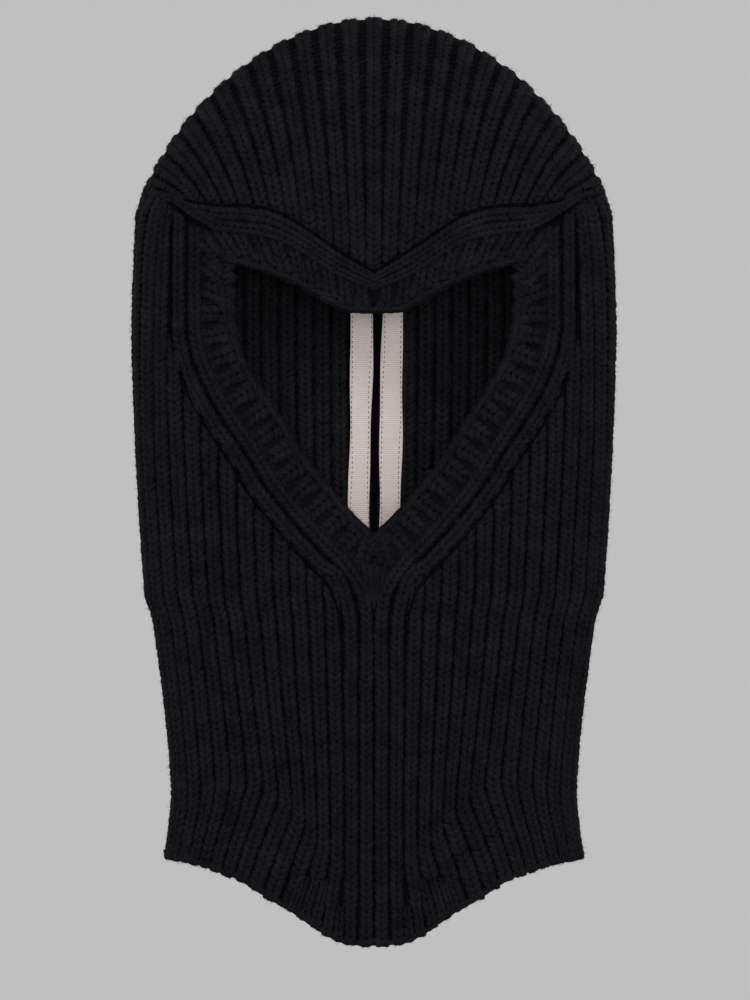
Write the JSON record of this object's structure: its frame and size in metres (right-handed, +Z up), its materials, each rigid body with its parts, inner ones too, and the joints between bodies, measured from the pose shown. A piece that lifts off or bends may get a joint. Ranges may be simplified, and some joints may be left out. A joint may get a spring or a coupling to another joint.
{
  "type": "balaclava",
  "caption": "Rib-knit balaclava with a heart-shaped face opening, a linked crown cap, a pointed front bib and label tapes inside the back.",
  "frame": {"origin": "middle of the width and of the depth, at the height of the front bib's lowest point", "axes": "+Z up to the crown, -Y the way the face looks, +X the wearer's left"},
  "size_m": [0.2296, 0.0724, 0.439],
  "materials": {
    "wool_rib": "chunky black wool rib knit, matt with a faint fibre haze",
    "wool_yarn": "the same black wool, as linking and cast-off yarn",
    "grosgrain": "pale dusty pink grosgrain tape with fine cross ribs",
    "thread": "dark fine sewing thread"
  },
  "bodies": {
    "root": {"back_seam": "wool_yarn", "body_panel_left": "wool_rib", "body_panel_right": "wool_rib", "brow_edge_left": "wool_yarn", "brow_edge_right": "wool_yarn", "brow_peak_seam": "wool_yarn", "brow_seam_left": "wool_yarn", "brow_seam_right": "wool_yarn", "brow_trim_left": "wool_rib", "brow_trim_right": "wool_rib", "cheek_edge_left": "wool_yarn", "cheek_edge_right": "wool_yarn", "cheek_seam_left": "wool_yarn", "cheek_seam_right": "wool_yarn", "cheek_trim_left": "wool_rib", "cheek_trim_right": "wool_rib", "chin_seam": "wool_yarn", "corner_seam_left": "wool_yarn", "corner_seam_right": "wool_yarn", "crown_panel": "wool_rib", "crown_seam_left": "wool_yarn", "crown_seam_right": "wool_yarn", "front_seam": "wool_yarn", "hem_edge_left": "wool_yarn", "hem_edge_right": "wool_yarn", "label_tape_left": "grosgrain", "label_tape_right": "grosgrain", "tape_stitches_left_inner": "thread", "tape_stitches_left_outer": "thread", "tape_stitches_right_inner": "thread", "tape_stitches_right_outer": "thread"}
  },
  "joints": []
}
